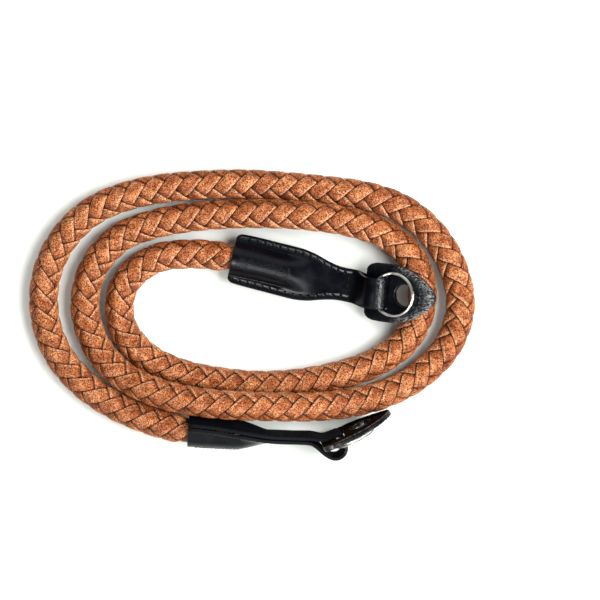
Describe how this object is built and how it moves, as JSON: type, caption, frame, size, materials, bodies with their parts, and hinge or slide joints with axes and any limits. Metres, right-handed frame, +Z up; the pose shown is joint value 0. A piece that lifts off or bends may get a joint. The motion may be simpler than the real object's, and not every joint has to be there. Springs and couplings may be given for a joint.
{
  "type": "camera strap",
  "caption": "Round braided leather camera strap lying coiled, with a leather tab, guard and split ring at each end.",
  "frame": {"origin": "middle of the coiled strap's outline, on the surface it lies on", "axes": "+X along the coil's long side, towards the guards' tips; +Z up, away from the surface"},
  "size_m": [0.1628, 0.1062, 0.0217],
  "materials": {
    "tan_braided_leather": "semi-matt, braided",
    "black_tab_leather": "glossy grain",
    "black_guard_leather": "glossy grain, brown suede behind",
    "ring_steel": "polished"
  },
  "bodies": {
    "strap": {"braided_cord": "tan_braided_leather", "end_tab_a": "black_tab_leather", "guard_a": "black_guard_leather", "end_tab_b": "black_tab_leather", "guard_b": "black_guard_leather"},
    "ring_a": {"ring_a": "ring_steel"},
    "ring_b": {"ring_b": "ring_steel"}
  },
  "joints": [
    {"name": "ring_a_swing", "type": "hinge", "parent": "strap", "child": "ring_a", "pos_m": [0.04442, 0.00834, 0.00935], "axis": [-0.0682, -0.9864, -0.1496], "range_deg": [0, 150]},
    {"name": "ring_b_swing", "type": "hinge", "parent": "strap", "child": "ring_b", "pos_m": [0.03007, -0.04751, 0.01061], "axis": [-0.0806, 0.1729, -0.9816], "range_deg": [0, 150]}
  ]
}
